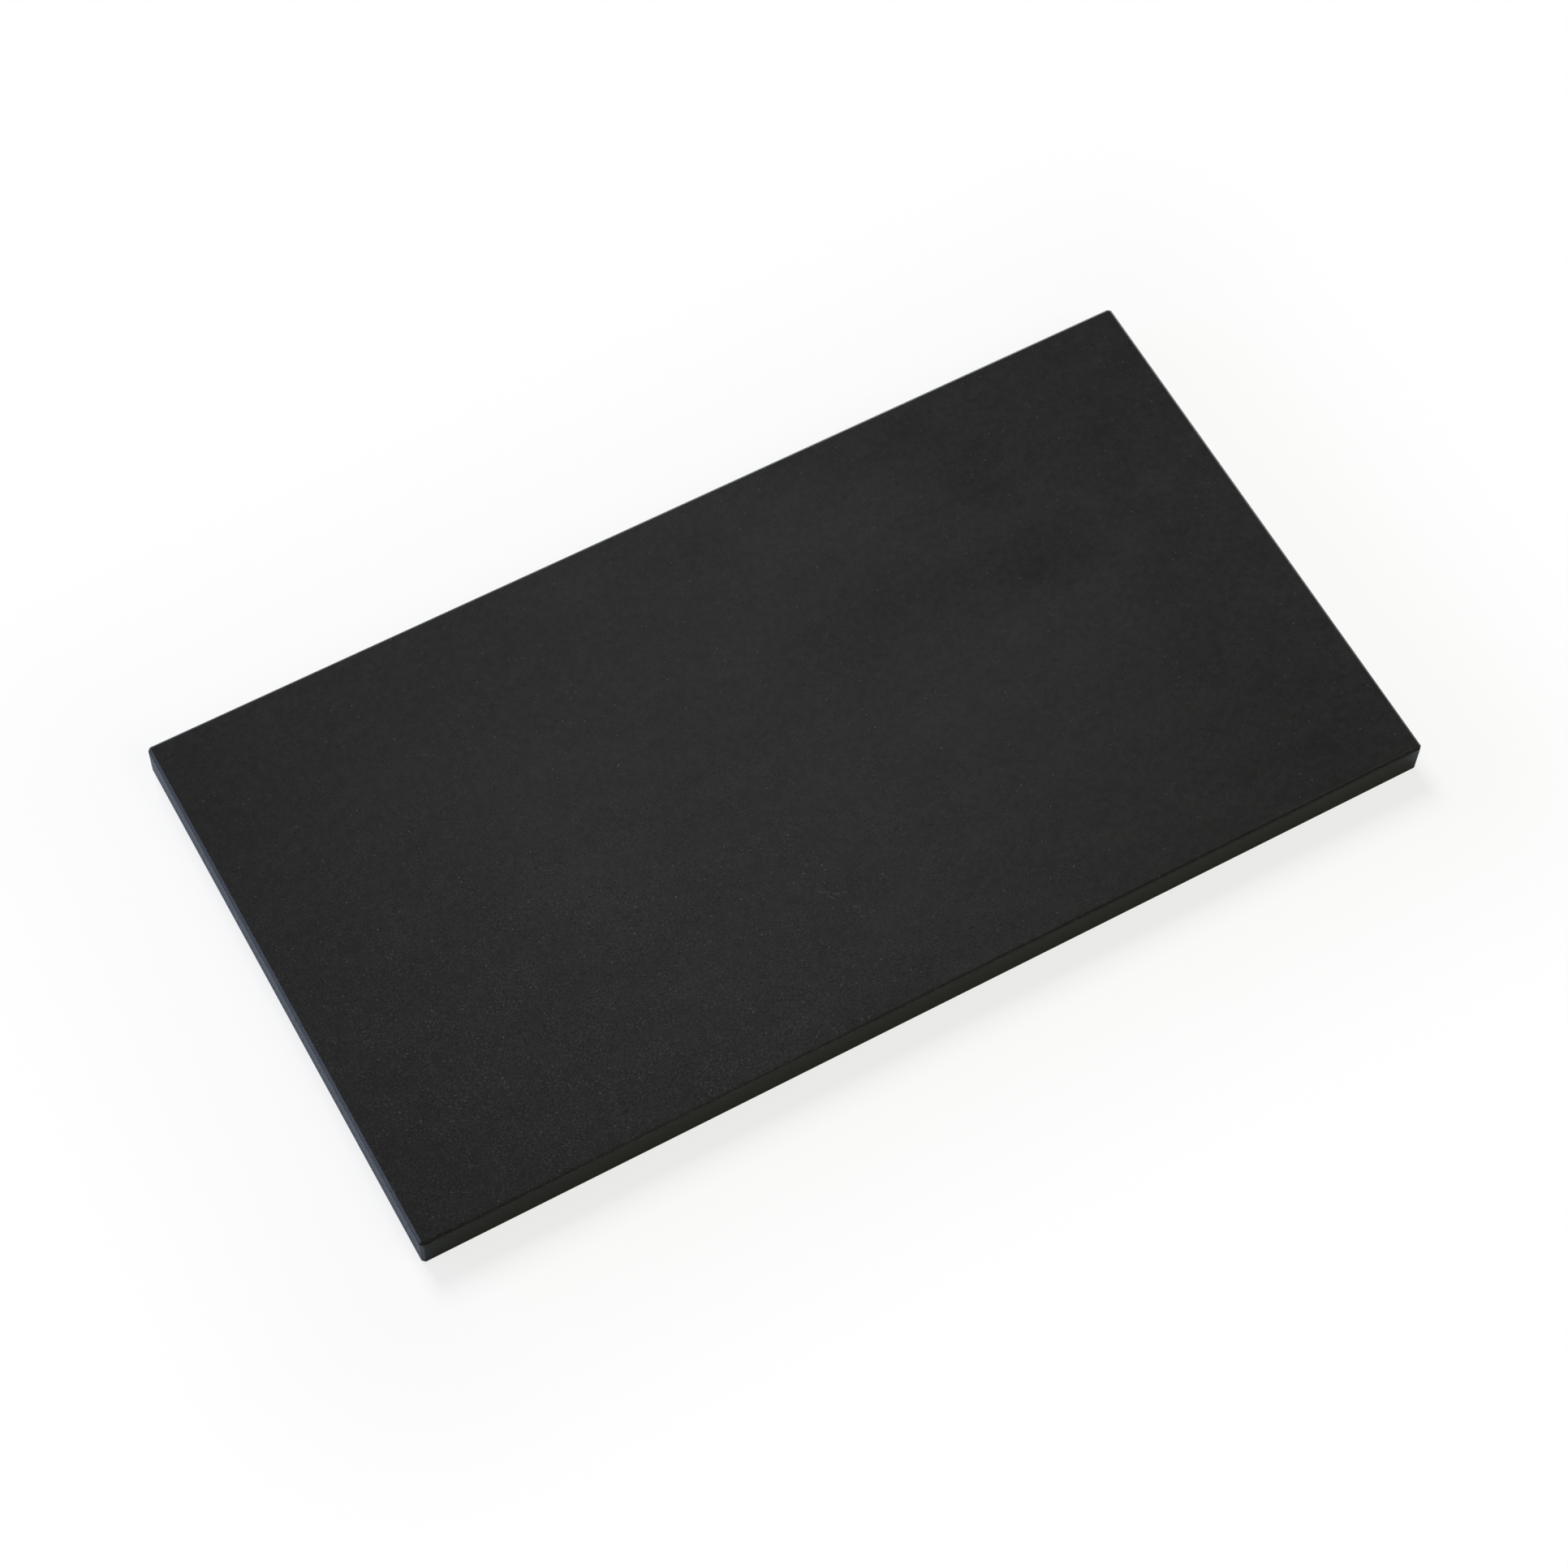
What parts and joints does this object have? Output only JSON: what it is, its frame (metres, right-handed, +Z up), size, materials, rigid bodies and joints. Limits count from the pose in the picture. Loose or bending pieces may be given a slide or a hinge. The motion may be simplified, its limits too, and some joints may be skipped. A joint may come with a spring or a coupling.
{
  "type": "rubber cutting board",
  "caption": "Flat black rubber-faced cutting board with a sealed wooden core, rubber edge bars, bevelled rims and two cutting faces.",
  "frame": {"origin": "centre of the underside, on the surface that the board lies on", "axes": "+X along the board, +Y across it towards its back edge, +Z up, out of the upper cutting face"},
  "size_m": [0.5, 0.27, 0.02],
  "materials": {
    "sheet_rubber": "matte black, fine sanded grain with faint pale specks and soft cloudy mottling",
    "edge_rubber": "satin black, planed smooth",
    "core_wood": "planed, unfinished light softwood"
  },
  "bodies": {
    "root": {"top_sheet": "sheet_rubber", "bottom_sheet": "sheet_rubber", "front_edge_bar": "edge_rubber", "back_edge_bar": "edge_rubber", "left_edge_bar": "edge_rubber", "right_edge_bar": "edge_rubber", "core_stave_1": "core_wood", "core_stave_2": "core_wood", "core_stave_3": "core_wood", "core_stave_4": "core_wood", "core_stave_5": "core_wood", "core_stave_6": "core_wood", "core_stave_7": "core_wood", "core_stave_8": "core_wood"}
  },
  "joints": []
}
